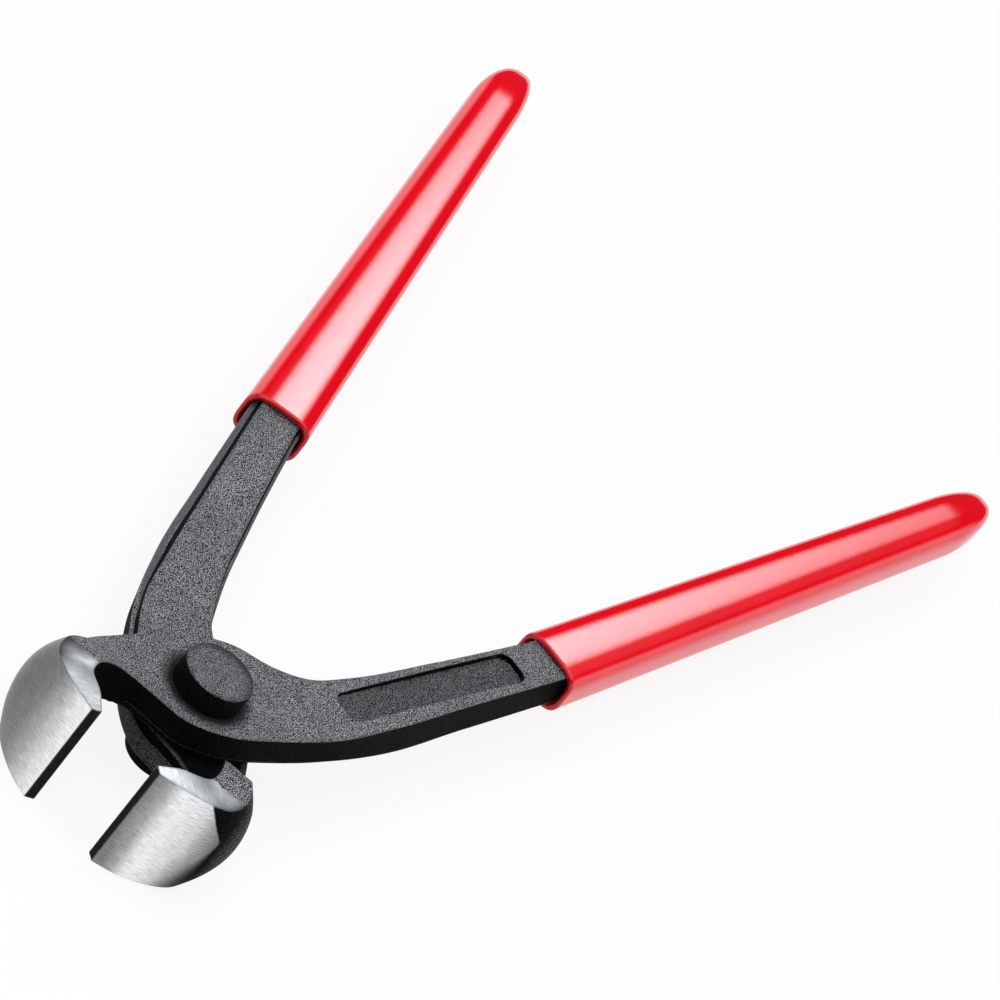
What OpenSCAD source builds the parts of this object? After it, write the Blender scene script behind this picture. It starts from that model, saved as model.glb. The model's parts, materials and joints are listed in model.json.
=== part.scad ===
// Ear clamp pliers: two forged arms crossed in a lap joint, one rivet, two dipped handle sleeves.
// Millimetres. The pivot axis is Z, the bench lies at Z = 0, handles point to +X and jaws to -X.

/* [Pose] */
// Angle between the arms, from the lips' outer edges meeting on the centre line
open_deg = 26.5; // [5:0.5:55]

/* [Jaws] */
// Width of a jaw along the pivot axis
jaw_w = 18.8; // [16:0.2:24]
// Pivot axis to the outer edge of a lip
lip_reach = 27.9; // [27:0.1:31]
// Width of the flat strip that forms a lip
lip_flat = 1.6; // [1:0.1:2.2]
// Tilt of that strip across the centre line, in degrees
lip_tilt = 35; // [20:1:50]
// Centre line to the outermost point of the rounded heel behind the jaw
heel_depth = 15.1; // [14.4:0.1:17]
// Centre line to the bottom of the throat behind the lips
throat_depth = 7.1; // [6:0.1:7.8]

/* [Arms] */
// Thickness of the shank and of the tang
arm_t = 5.8; // [5.2:0.1:7]
// Joint plane to the outer face of an arm
arm_out = 5; // [4.4:0.1:6]
// Width of the flat face where the shank leaves the elbow
shank_w = 9.8; // [8:0.1:11]
// Pivot axis to the waist of the shank
waist_x = 46; // [40:0.5:54]
// Width of the flat face at the waist
waist_w = 8.4; // [7.4:0.1:9.4]
// Draft of the side wall on the inside of the handle, at the parting line
draft_in = 0.5; // [0.3:0.1:1]
// Draft of the side wall on the outside of the handle, at the parting line
draft_out = 1.1; // [0.6:0.1:1.3]
// Ledge along the parting line on the inside of the handle
ledge_in = 0.4; // [0.2:0.05:0.6]
// Ledge along the parting line on the outside of the handle
ledge_out = 0.95; // [0.5:0.05:1.1]
// How much further in the inner face starts than the outer face, on either side
inner_inset = 0.45; // [0.2:0.05:0.6]
// Radius of the lap seat milled round the pivot
lap_r = 17; // [16:0.1:17.6]
// Gap between the two lap faces
lap_gap = 0.1; // [0.06:0.02:0.3]

/* [Rivet] */
// Diameter of the rivet's shank
rivet_d = 7.5; // [6:0.1:9]
// Diameter of the tall front head
head_d = 10.8; // [9.6:0.1:13]
// Height of the front head
head_h = 3.9; // [2:0.1:4.2]
// Diameter of the head formed at the back
tail_d = 10; // [9.6:0.1:13]
// Rounding drawn as a small bevel on both heads
head_bevel = 0.4; // [0.2:0.1:0.8]
// Radial running clearance in the rear arm
run_clear = 0.05; // [0.02:0.01:0.1]
// Radial interference in the front arm
press = 0.01; // [0.005:0.005:0.02]
// Play between the formed head and the rear arm
end_play = 0.1; // [0.06:0.02:0.3]

/* [Grips] */
// Pivot axis to the mouth of a sleeve
grip_start = 70; // [66:0.5:76]
// Length of a sleeve
grip_len = 125.5; // [110:0.5:150]
// Width of a sleeve behind its mouth
grip_w = 11.2; // [10.8:0.1:14]
// Width of a sleeve where its tip starts to round off
grip_tip_w = 8.8; // [8.2:0.1:10]
// Thickness of a sleeve along the pivot axis
grip_t = 8.2; // [7.8:0.1:11]
// Corner radius of a sleeve's section
grip_r = 2.4; // [2:0.1:3.6]
// Length over which the tip rounds off
tip_round = 16; // [8:0.5:20]
// Lean of the rounded tip towards the inside of the handle
tip_lean = 1.4; // [0:0.1:2.4]
// Centre line of the tool to the middle of a sleeve's mouth
mouth_y = 11.2; // [10:0.1:14]
// Centre line of the tool to the middle of a sleeve's tip
tip_y = 7.8; // [6:0.1:12]
// Joint plane to the middle of a sleeve's mouth, towards the arm's own side
mouth_z = 0.7; // [0:0.1:2]
// Joint plane to the middle of a sleeve's tip
tip_z = 0.1; // [-2:0.1:2]
// Width of the tang's flat face at the mouth
tang_w = 7.4; // [6:0.1:8]
// Width of the tang's flat face at its end
tang_tip_w = 5; // [3:0.1:5.4]
// Solid plastic past the end of the tang
tip_wall = 12; // [9:0.5:16]
// Stretch of the sleeve over the tang
grip_fit = 0.05; // [0.02:0.01:0.08]
// Gap between the sleeve's mouth and the shank
mouth_gap = 0.35; // [0.2:0.05:0.4]
// Depth of that gap
mouth_depth = 5; // [3:0.5:8]
// Rounding of the sleeve's rim
rim_round = 0.35; // [0.2:0.05:0.5]

/* [Recess] */
// Pivot axis to the start of the sunk panel in the shank's outer face
panel_x = 21.5; // [20:0.5:24]
// Length of the panel
panel_len = 40.5; // [32:0.5:42]
// Width of the panel
panel_w = 5.4; // [4.4:0.1:6]
// Corner radius of the panel
panel_r = 1.8; // [0.6:0.1:2]
// Depth of the panel
panel_depth = 0.7; // [0.4:0.1:1]

/* [Hidden] */
$fn = 96;

forge_black = [0.16, 0.16, 0.17];
rivet_black = [0.12, 0.12, 0.13];
grip_red = [0.86, 0.02, 0.06];

// Heights are counted from the joint plane, outwards on the arm's own side
jaw_half = jaw_w / 2;
shank_mid = arm_out - arm_t / 2;
tip_x = grip_start + grip_len;
tang_end = tip_x - tip_wall;
elbow_x = 27;

// Place of the handle's centre line, straight from the sleeve's mouth to its tip
function along(x) = (x - grip_start) / grip_len;
function handle_y(x) = -(mouth_y + (tip_y - mouth_y) * along(x));
function handle_z(x) = mouth_z + (tip_z - mouth_z) * along(x);

// A station is one cross-section of the forging: back x, y, front x, y, inner and outer height,
// bulge of the back and of the front, roundness of the back, ledge on the back and on the front,
// and inset of the inner face.
// The back runs from the lip round the claw, past the crotch, to the inside of the handle,
// and the front runs from the lip through the throat to the outside of the handle.
function jaw_station(back, front, narrow, bulge) =
    [back.x, back.y, front.x, front.y, -(jaw_half - narrow), jaw_half - narrow, bulge, 0, 1, 0, 0, 0];
function plate_station(back, front, round_back) =
    [back.x, back.y, front.x, front.y, lap_inner, arm_out,
        draft_in, draft_out * plate_draft, round_back,
        0, ledge_out * plate_draft, inner_inset * plate_inset];
function bar_station(x, face_w, mid_y, mid_z, share) =
    [x, mid_y + face_w / 2, x, mid_y - face_w / 2, mid_z - arm_t / 2, mid_z + arm_t / 2,
        draft_in, draft_out * share, 0, ledge_in, ledge_out * share, inner_inset];

lip_inner = [-lip_reach + lip_flat * cos(lip_tilt), -lip_flat * sin(lip_tilt)];
heel_bulge = 2.6;
shoulder_bulge = 3.6;
shoulder_slope = (arm_out + jaw_half) / 2;
elbow_mid_y = 9.8;
panel_y = elbow_mid_y - 0.4;
lap_relief = 0.05;
lap_inner = lap_gap / 2 + lap_relief;
plate_draft = 0.7;
plate_inset = 0.25;
tang_draft = 0.75;
waist_y = 10.65;
waist_z = shank_mid - 0.4;

stations = [
    jaw_station([-lip_reach, 0], lip_inner, 0, 0),
    jaw_station([-27.4, 3.8], [-23.7, 2.4], 0.15, 0.5),
    jaw_station([-26.3, 7.3], [-22.4, 4.9], 0.5, 1.2),
    jaw_station([-24.3, 10.8], [-20.8, throat_depth - 0.7], 1, 2),
    jaw_station([-20.4, heel_depth - heel_bulge], [-18.4, throat_depth], 1.2, heel_bulge),
    [-15.8, heel_depth - shoulder_bulge, -15.2, throat_depth - 0.5,
        1 - jaw_half, shoulder_slope, shoulder_bulge, 0, 1, 0, 0, 0],
    [-11, 12.1, -12, 5.2, arm_out - arm_t, arm_out + 0.6, 1.8, 0.3, 1, 0, 0, 0],
    plate_station([-4.5, 11.5], [-9.6, 0.7], 0.5),
    plate_station([5.3, 8.8], [-7.5, -4.2], 0),
    plate_station([10.8, 5.6], [-2, -8.4], 0),
    plate_station([14.6, 0.6], [6.5, -11.4], 0),
    plate_station([19.6, -3.2], [16.5, -13.9], 0),
    bar_station(elbow_x, shank_w, -elbow_mid_y, shank_mid, 1),
    bar_station(waist_x, waist_w, -waist_y, waist_z, 1),
    bar_station(grip_start, tang_w, handle_y(grip_start), handle_z(grip_start), tang_draft),
];

// Smooth curve through the stations, spaced by the distance between their middles
function middle(s) = [(s[0] + s[2]) / 2, (s[1] + s[3]) / 2];
function span(i) = norm(middle(stations[i + 1]) - middle(stations[i]));
function rate(i) = (stations[i + 1] - stations[i]) / span(i);
last = len(stations) - 1;
function slope(i) =
    i == 0 ? rate(0)
    : i == last ? rate(last - 1)
    : (rate(i - 1) * span(i) + rate(i) * span(i - 1)) / (span(i) + span(i - 1));
function between(i, t) =
    (2 * t ^ 3 - 3 * t ^ 2 + 1) * stations[i]
    + (t ^ 3 - 2 * t ^ 2 + t) * span(i) * slope(i)
    + (3 * t ^ 2 - 2 * t ^ 3) * stations[i + 1]
    + (t ^ 3 - t ^ 2) * span(i) * slope(i + 1);

// Cross-section of the forging: down the back, along the inner face and up the front.
// A drafted wall widens from the outer face to the parting line, steps in by the ledge,
// and narrows from there to the inner face.
parting = -0.5;
outer_steps = 6;
wall_u = concat(
    [for (k = [0:outer_steps]) 1 - (1 - parting) * k / outer_steps],
    [parting - 0.06, -0.78, -1]
);
wall_last = len(wall_u) - 1;
function drafted(u, bulge, ledge, inset) =
    u >= parting ? bulge * (1 - u) / (1 - parting)
    : ((bulge - ledge) * (1 + u) - inset * (parting - u)) / (1 + parting);
function wall_at(u, bulge, roundness, ledge, inset) =
    roundness * bulge * (1 - u ^ 2) + (1 - roundness) * drafted(u, bulge, ledge, inset);
function forge_ring(s) =
    let (back = [s[0], s[1]], front = [s[2], s[3]], out = (back - front) / norm(back - front))
    let (mid = (s[4] + s[5]) / 2, half = (s[5] - s[4]) / 2)
    concat(
        [for (k = [0:wall_last])
            let (u = wall_u[k], p = back + out * wall_at(u, s[6], s[8], s[9], s[11]))
            [p.x, p.y, mid + half * u]],
        [for (k = [wall_last:-1:0])
            let (u = wall_u[k], p = front - out * wall_at(u, s[7], 0, s[10], s[11]))
            [p.x, p.y, mid + half * u]]
    );

ring_pitch = 1.75;
function steps(i) = min(8, ceil(span(i) / ring_pitch));
tang_steps = 3;
function tang_station(x) =
    let (share = (x - grip_start) / (tang_end - grip_start))
    bar_station(x, tang_w + (tang_tip_w - tang_w) * share, handle_y(x), handle_z(x), tang_draft);
function tang_x(share) = grip_start + (tang_end - grip_start) * share;
forge_rings = concat(
    [for (i = [0:last - 1]) for (k = [0:steps(i) - 1]) forge_ring(between(i, k / steps(i)))],
    [for (k = [0:tang_steps]) forge_ring(tang_station(tang_x(k / tang_steps)))]
);

// Closed skin over a row of rings with the same even number of points, its ends filled across the rings
module skin(rings) {
    count = len(rings);
    points = len(rings[0]);
    sides = [for (i = [0:count - 2]) for (j = [0:points - 1])
        let (a = i * points + j, b = i * points + (j + 1) % points)
        each [[a, b, b + points], [a, b + points, a + points]]];
    caps = [for (j = [0:points / 2 - 2])
        let (a = j, b = j + 1, c = points - 2 - j, d = points - 1 - j, end = (count - 1) * points)
        each [[b, a, c], [a, d, c], [a + end, b + end, c + end], [a + end, c + end, d + end]]];
    polyhedron(points = [for (r = rings) each r], faces = concat(sides, caps));
}

// Sunk panel with rounded corners, along the shank's outer face
module panel_cut() {
    shank_run = grip_start - elbow_x;
    turn = atan2(mouth_y - elbow_mid_y, shank_run);
    drop = atan2(shank_mid - mouth_z, shank_run);
    translate([panel_x, -panel_y, 0])
        rotate([0, drop, -turn])
            translate([0, -panel_w / 2, arm_out - panel_depth])
                linear_extrude(arm_t) {
                    translate([panel_r, 0]) square([panel_len - 2 * panel_r, panel_w]);
                    translate([0, panel_r]) square([panel_len, panel_w - 2 * panel_r]);
                    for (x = [panel_r, panel_len - panel_r]) for (y = [panel_r, panel_w - panel_r])
                        translate([x, y]) circle(r = panel_r);
                }
}

// One forging, drawn as the front arm with its lips on the centre line
module forging(bore_r) {
    difference() {
        skin(forge_rings);
        translate([0, 0, lap_gap / 2 - jaw_w]) cylinder(r = lap_r, h = jaw_w);
        translate([0, 0, -jaw_w]) cylinder(r = bore_r, h = 2 * jaw_w);
        panel_cut();
    }
}

// Sleeve section with rounded corners at one place along the handle
corner_steps = 5;
function sleeve_ring(x, half_w, half_t, r, shift = 0) =
    [for (q = [0:3]) for (k = [0:corner_steps])
        let (turn = 90 * q + 90 * k / corner_steps)
        let (side = [(q == 0 || q == 3) ? 1 : -1, q < 2 ? 1 : -1])
        let (y = side.x * (half_w - r) + r * cos(turn), z = side.y * (half_t - r) + r * sin(turn))
        [x, handle_y(x) + shift + y, handle_z(x) + z]];

round_start = tip_x - tip_round;
function grip_half(x) =
    (grip_w + (grip_tip_w - grip_w) * (x - grip_start) / (round_start - grip_start)) / 2;
function tip_ring(turn) =
    let (x = round_start + tip_round * sin(turn), k = cos(turn))
    sleeve_ring(x, k * grip_half(round_start), k * grip_t / 2, k * grip_r, (1 - k) * tip_lean);
function outer_ring(x, less) = sleeve_ring(x, grip_half(x) - less, grip_t / 2 - less, grip_r - less);
bore_r_corner = 1.6;
function inner_ring(x, more) =
    let (s = tang_station(x), half_w = (s[1] - s[3] + s[6] + s[7]) / 2, shift = (s[6] - s[7]) / 2)
    sleeve_ring(x, half_w - grip_fit + more, arm_t / 2 - grip_fit + more, bore_r_corner, shift);

tip_turns = [84, 70, 55, 40, 25, 10];
body_steps = 6;
sleeve_rings = concat(
    [for (turn = tip_turns) tip_ring(turn)],
    [for (k = [body_steps:-1:0])
        let (near = grip_start + rim_round)
        outer_ring(near + (round_start - near) * k / body_steps, 0)],
    [outer_ring(grip_start + 0.3 * rim_round, 0.3 * rim_round), outer_ring(grip_start, rim_round)],
    [inner_ring(grip_start, mouth_gap), inner_ring(grip_start + mouth_depth, 0), inner_ring(tang_end, 0)]
);

// Both arms and both sleeves share one drawing: the rear ones are it, turned over
module as_front() {
    translate([0, 0, jaw_half])
        rotate([0, 0, -open_deg / 2])
            children();
}
module as_rear() {
    translate([0, 0, jaw_half])
        rotate([0, 0, open_deg / 2])
            rotate([180, 0, 0])
                children();
}

module front_arm() { color(forge_black) as_front() forging(rivet_d / 2 - press); }

module rear_arm() { color(forge_black) as_rear() forging(rivet_d / 2 + run_clear); }

module pivot_rivet() {
    tail_z = -arm_out - end_play;
    color(rivet_black)
        translate([0, 0, jaw_half])
            rotate_extrude()
                polygon([
                    [0, -jaw_half],
                    [tail_d / 2 - head_bevel, -jaw_half],
                    [tail_d / 2, -jaw_half + head_bevel],
                    [tail_d / 2, tail_z],
                    [rivet_d / 2, tail_z],
                    [rivet_d / 2, arm_out],
                    [head_d / 2, arm_out],
                    [head_d / 2, arm_out + head_h - head_bevel],
                    [head_d / 2 - head_bevel, arm_out + head_h],
                    [0, arm_out + head_h]
                ]);
}

module front_grip() { color(grip_red) as_front() skin(sleeve_rings); }

module rear_grip() { color(grip_red) as_rear() skin(sleeve_rings); }

front_arm();
rear_arm();
pivot_rivet();
front_grip();
rear_grip();
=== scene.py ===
# %% [markdown]
# # Ear clamp pliers
# The tool is two identical drop forgings crossed in a lap joint, one rivet through the lap, and two
# red plastic sleeves dipped onto the handles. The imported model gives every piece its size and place.
# This lesson only dresses it: it rounds the forgings, spins the rivet, sweeps the sleeves and gives
# each surface a finish.

# %% Load the frame
import json
from math import cos, pi, radians, sin

import bmesh
import bpy
from mathutils import Matrix, Vector


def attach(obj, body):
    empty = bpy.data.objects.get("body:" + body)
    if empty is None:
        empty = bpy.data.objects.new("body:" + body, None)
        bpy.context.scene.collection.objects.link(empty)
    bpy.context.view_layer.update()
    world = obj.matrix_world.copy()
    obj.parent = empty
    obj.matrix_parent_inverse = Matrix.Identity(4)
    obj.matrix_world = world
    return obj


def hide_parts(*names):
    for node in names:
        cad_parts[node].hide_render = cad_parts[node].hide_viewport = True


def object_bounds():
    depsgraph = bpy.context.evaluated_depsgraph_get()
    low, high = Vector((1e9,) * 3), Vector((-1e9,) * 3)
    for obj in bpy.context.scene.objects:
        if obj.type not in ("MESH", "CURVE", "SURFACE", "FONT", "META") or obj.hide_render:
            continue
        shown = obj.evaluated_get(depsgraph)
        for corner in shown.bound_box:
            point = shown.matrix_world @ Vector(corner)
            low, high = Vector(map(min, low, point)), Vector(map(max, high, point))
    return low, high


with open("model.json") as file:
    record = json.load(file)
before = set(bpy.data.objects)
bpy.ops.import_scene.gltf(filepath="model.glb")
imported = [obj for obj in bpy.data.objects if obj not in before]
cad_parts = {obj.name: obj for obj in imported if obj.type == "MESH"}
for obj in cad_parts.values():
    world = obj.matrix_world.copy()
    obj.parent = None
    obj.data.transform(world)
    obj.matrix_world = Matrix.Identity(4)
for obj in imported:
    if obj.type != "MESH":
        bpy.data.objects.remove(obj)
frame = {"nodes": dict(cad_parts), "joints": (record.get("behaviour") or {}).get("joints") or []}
cad_box = [list(corner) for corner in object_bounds()]
MM = 0.001
print("CAD box in mm:", [[round(v / MM, 1) for v in corner] for corner in cad_box])

# %% [markdown]
# ## Camera
# The photograph was taken with a long lens from beyond the jaws, a little over a third of the way up. A
# camera can be placed by eye, or worked out from known points. Here the eye, the camera's directions and
# the lens were fitted to the lips, the rivet head and the handle ends, so the render and the photograph
# line up.

# %% Place the camera
CAMERA_EYE = Vector((-721.25, -112.14, 545.63)) * MM
CAMERA_RIGHT = Vector((0.44477, -0.72393, 0.52735))
CAMERA_UP = Vector((0.33692, 0.68077, 0.65041))
LENS_MM = 234.74
SENSOR_MM = 36.0
CLIP_NEAR = 0.05
CLIP_FAR = 20.0

lens = bpy.data.cameras.new("photo_lens")
lens.sensor_fit = "HORIZONTAL"
lens.sensor_width = SENSOR_MM
lens.lens = LENS_MM
lens.clip_start = CLIP_NEAR
lens.clip_end = CLIP_FAR
camera = bpy.data.objects.new("photo_camera", lens)
camera_back = CAMERA_RIGHT.cross(CAMERA_UP)
turned = Matrix((CAMERA_RIGHT, CAMERA_UP, camera_back)).transposed()
camera.matrix_world = Matrix.Translation(CAMERA_EYE) @ turned.to_4x4()
bpy.context.scene.collection.objects.link(camera)
bpy.context.scene.camera = camera
print("camera looks along", [round(v, 3) for v in -camera_back])

# %% [markdown]
# ## One drawing for both arms
# Both arms are the same forging: the rear one is turned over and swung the other way. Every rule about a
# surface, such as where the grinder stopped, is easier to write once, in the forging's own millimetres:
# the lips lie on the centre line at the far left, the handle runs to the right, and Z points away from
# the joint plane. Two matrices carry that drawing to the front and to the rear.

# %% Matrices from the forging's drawing to the tool
OPEN_DEG = 26.5
pivot_height = frame["joints"][0]["pos_m"][2]
lift = Matrix.Translation((0, 0, pivot_height))
to_metres = Matrix.Scale(MM, 4)
half_turn = Matrix.Rotation(pi, 4, "X")
place_of = {
    "front": lift @ Matrix.Rotation(radians(-OPEN_DEG / 2), 4, "Z") @ to_metres,
    "rear": lift @ Matrix.Rotation(radians(OPEN_DEG / 2), 4, "Z") @ half_turn @ to_metres,
}
print("joint plane at", round(pivot_height / MM, 2), "mm above the bench")

# %% [markdown]
# ## Forged arms
# A drop forging has smooth, flowing faces and edges that are crisp but never knife sharp. The CAD solid
# has the right form in flat facets. Sculpting or remeshing would lose its edges, so its triangles are
# merged, paired into four-sided faces and subdivided, with a crease on every real edge. The facets melt
# into one skin, and a bevel of a tenth of a millimetre takes the last sharpness off each edge.

# %% Plain objects and meshes


def plain_object(name, mesh):
    piece = bpy.data.objects.new(name, mesh)
    bpy.context.scene.collection.objects.link(piece)
    return piece


def as_plain_mesh(piece, name):
    """Evaluate the modifiers of a piece and keep the result as an ordinary mesh."""
    ready = piece.evaluated_get(bpy.context.evaluated_depsgraph_get())
    mesh = bpy.data.meshes.new_from_object(ready)
    mesh.name = name
    piece.modifiers.clear()
    piece.data = mesh


print("mesh helpers ready")

# %% Subdivide a copy of a CAD solid
WELD = 0.002 * MM
PAIR_BEND = radians(20)
PAIR_SKEW = radians(50)
EDGE_ANGLE = radians(30)
EDGE_CREASE = 1.0
EDGE_ROUND = 0.10 * MM
EDGE_SEGMENTS = 2
SKIN_LEVELS = 2


def creased_mesh(node_name, mesh_name):
    """The solid's triangles merged and paired, with a crease on each real edge."""
    shape = bmesh.new()
    shape.from_mesh(frame["nodes"][node_name].data)
    bmesh.ops.remove_doubles(shape, verts=shape.verts, dist=WELD)
    bmesh.ops.join_triangles(
        shape, faces=shape.faces, angle_face_threshold=PAIR_BEND, angle_shape_threshold=PAIR_SKEW
    )
    crease = shape.edges.layers.float.new("crease_edge")
    for edge in shape.edges:
        if edge.is_manifold and edge.calc_face_angle() > EDGE_ANGLE:
            edge[crease] = EDGE_CREASE
    mesh = bpy.data.meshes.new(mesh_name)
    shape.to_mesh(mesh)
    shape.free()
    return mesh


def forged_skin(node_name, piece_name):
    piece = plain_object(piece_name, creased_mesh(node_name, piece_name))
    finer = piece.modifiers.new("finer", "SUBSURF")
    finer.levels = SKIN_LEVELS
    finer.render_levels = SKIN_LEVELS
    rounder = piece.modifiers.new("rounder", "BEVEL")
    rounder.limit_method = "ANGLE"
    rounder.angle_limit = EDGE_ANGLE
    rounder.width = EDGE_ROUND
    rounder.segments = EDGE_SEGMENTS
    rounder.use_clamp_overlap = False
    as_plain_mesh(piece, piece_name)
    piece.data.shade_smooth()
    return piece


arms = {side: forged_skin(side + "_arm", side + "_forging") for side in place_of}
for side, arm in arms.items():
    print(arm.name, "has", len(arm.data.polygons), "faces")

# %% [markdown]
# ## Where the grinder went
# After forging, the outside of each jaw and the flanks beside its lip are ground to bare steel, and the
# rest keeps its black blasted skin. The border follows a belt grinder's path and is ragged, not a
# modelled edge. A hand-painted mask would do, but a rule is clearer. Each face stores which surface it
# belongs to, and each point stores how far inside the ground zone it lies, in millimetres. The finish
# later turns zero into a ragged border, and on the rear jaw into a wider soft fade that is painted shade.

# %% Which surface a face belongs to
LIP_END = -24.0
LIP_DOWN = -0.45
CLAW_END = -16.0
FLANK_TILT = 0.65
THROAT_INWARD = 0.3
THROAT_DOWN = -0.2
THROAT_Y = 1.5


def zone_of(place, facing):
    """The surface's name, from where a face lies and which way it looks."""
    if place.x < LIP_END and facing.y < LIP_DOWN and facing.x < THROAT_INWARD:
        return "lip"
    if abs(facing.z) > FLANK_TILT:
        return "flank"
    in_throat = facing.x > THROAT_INWARD or (facing.y < THROAT_DOWN and place.y > THROAT_Y)
    return "skin" if place.x > CLAW_END or in_throat else "main"


print("the claw ends", -CLAW_END, "mm before the rivet")

# %% How far inside the ground zone a point lies
GROUND_END = {"front": 15.5, "rear": 12.4}
GROUND_REACH = {"front": 10.9, "rear": 16.0}
GROUND_NARROWING = {"front": 0.15, "rear": 0.0}
SCALLOP = {"front": 0.0, "rear": 0.75}
SCALLOP_START = 3.5
FLANK_END = {"front": -19.0, "rear": -20.6}
FLANK_SLANT = {"front": 0.25, "rear": 0.0}
FLANK_MIDDLE = 7.0
BORDER_FADE = {"front": 0.0, "rear": 0.4}
FADE_START = -2.5


def main_depth(place, side):
    """Millimetres inside the ground zone of the claw's outside, negative on black skin."""
    end = GROUND_END[side] - SCALLOP[side] * max(-place.z - SCALLOP_START, 0)
    reach = GROUND_REACH[side] - GROUND_NARROWING[side] * max(place.y, 0)
    return min(end - place.y, reach - abs(place.z), CLAW_END - place.x)


def flank_depth(place, side):
    """The same on the flanks beside the lip."""
    end = FLANK_END[side] - FLANK_SLANT[side] * (place.y - FLANK_MIDDLE)
    return min(end - place.x, GROUND_END[side] - place.y)


def border_softness(place, side):
    """Millimetres over which the ground steel fades out, wider on the rear jaw towards the forging's
    outer face as painted shade.
    """
    return BORDER_FADE[side] * max(place.z - FADE_START, 0)


print("ground steel ends this far from the centre line, in mm:", GROUND_END)

# %% [markdown]
# The ground steel's brightness is painted: each jaw has one band of painted reflection and grows darker
# away from it, and the flanks are dimmed towards the throat. A curve node could hold that brightness, but
# a short table against the distance from the centre line is easier to read and to correct.

# %% Painted reflection on the ground steel
MAIN_PAINTED_SHINE = {
    "front": ((0, 0.96), (1.5, 0.82), (3, 0.62), (5, 0.39), (7.5, 0.22), (10, 0.18), (16, 0.13)),
    "rear": ((0, 0.23), (2.2, 0.42), (4, 0.88), (5, 0.97), (8.5, 0.71), (10.2, 0.39), (12.6, 0.11)),
}
FLANK_PAINTED_SHINE = {
    "front": ((0, 0.64), (3, 0.98), (4, 1.06), (6.4, 1.62), (7.6, 1.42), (8.8, 0.92), (10, 0.26)),
    "rear": ((0, 1.05), (4, 0.94), (7.3, 1.12), (8.4, 0.96), (9.5, 0.50), (10.7, 0.50), (12, 0.35)),
}
SHINE_MIDDLE = 5.0
SHINE_FAN = 0.035
FLANK_DIMMING = 0.18
DIMMING_START = -22.5


def along(table, value):
    """Value read off a table of points, straight between them and level beyond its ends."""
    if value <= table[0][0]:
        return table[0][1]
    for (x0, y0), (x1, y1) in zip(table, table[1:]):
        if value <= x1:
            return y0 + (y1 - y0) * (value - x0) / (x1 - x0)
    return table[-1][1]


def main_shine(place, side):
    """Painted reflection on the claw's outside, in a band that narrows towards the forging's outer side.
    """
    fan = SHINE_FAN * max(place.z, 0) * (place.y - SHINE_MIDDLE)
    return along(MAIN_PAINTED_SHINE[side], place.y + fan)


def flank_shine(place, side):
    """Painted reflection on the flanks, darker towards the throat."""
    dimming = FLANK_DIMMING * max(place.x - DIMMING_START, 0)
    return max(along(FLANK_PAINTED_SHINE[side], place.y) * (1 - dimming), 0)


for side, table in MAIN_PAINTED_SHINE.items():
    print(side, "claw is brightest", max(table, key=lambda row: row[1])[0], "mm from the centre line")

# %% [markdown]
# The blasted skin has one speckle everywhere, but only faces that look up or down show it lit. The walls
# are painted nearly black as shade, and so is the throat as its painted shadow. The rear arm's sides are
# painted lighter round the heel and along the boss, where light falls on them. The walls slope to a
# parting line, where the two forging dies met, so a point's height is best told as a share of the wall
# above or below it.

# %% Where light and shade are painted on the skin
ARM_T = 5.8
PARTING = ((-30.0, 2.5), (18.0, 2.5), (27.0, 2.1), (46.0, 1.7), (70.0, 0.7), (195.5, 0.1))
SHADOW_END = -2.0
SHADOW_FLOOR = -3.0
HEEL_LIGHT = 0.22
HEEL_Y = ((12.7, 0.0), (14.2, 1.0))
HEEL_X = ((-13.0, 1.0), (-6.0, 0.0))
BOSS_LIGHT = 0.35
BOSS_X = ((-12.5, 0.0), (-11.0, 1.0), (-2.0, 1.0), (4.0, 0.0))
BOSS_Y = ((1.5, 1.0), (2.5, 0.0))
BOSS_Z = ((1.3, 0.0), (1.9, 1.0))
PANEL_X = (20.0, 63.0)
PANEL_FLATNESS = 0.9
PANEL_SHARE = 0.85


def parting_share(place):
    """Height above the parting line, where one is the outer face and minus one the inner face."""
    return (place.z - along(PARTING, place.x)) / (ARM_T / 2)


def facing_level(place, facing):
    """How far a face looks up or down: one on level faces, nought on walls, and nought in the throat as
    its painted shadow.
    """
    if LIP_END < place.x < SHADOW_END and facing.z < 0 and place.z > SHADOW_FLOOR:
        return 0.0
    return abs(facing.z)


def side_light(place, side):
    """Painted light on the rear arm's sides, round its heel and along its boss: how much of the lit
    speckle shows there.
    """
    if side == "front":
        return 0.0
    heel = along(HEEL_X, place.x) * along(HEEL_Y, place.y)
    boss = along(BOSS_X, place.x) * along(BOSS_Y, place.y) * along(BOSS_Z, place.z)
    return max(HEEL_LIGHT * heel, BOSS_LIGHT * boss)


def is_sunk(place, facing):
    """True on the floor of the sunk panel, which takes a painted shade."""
    on_panel = PANEL_X[0] < place.x < PANEL_X[1] and facing.z > PANEL_FLATNESS
    return on_panel and parting_share(place) < PANEL_SHARE


print("parting line falls from", PARTING[0][1], "to", PARTING[-1][1], "mm above the joint plane")

# %% Store them on points and faces
WEAR_ANGLE = radians(14)


def edge_points(mesh):
    """One for points on an outward edge, nought elsewhere."""
    shape = bmesh.new()
    shape.from_mesh(mesh)
    marks = [0.0] * len(shape.verts)
    for edge in shape.edges:
        if edge.is_manifold and edge.calc_face_angle_signed() > WEAR_ANGLE:
            for point in edge.verts:
                marks[point.index] = 1.0
    shape.free()
    return marks


def store(mesh, name, values, domain="POINT", kind="FLOAT"):
    layer = mesh.attributes.new(name, kind, domain)
    key = "vector" if kind == "FLOAT_VECTOR" else "value"
    layer.data.foreach_set(key, values)


POINT_RULES = {
    "main_depth": main_depth,
    "flank_depth": flank_depth,
    "main_painted_shine": main_shine,
    "flank_painted_shine": flank_shine,
    "softness": border_softness,
    "side_light": side_light,
}


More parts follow.
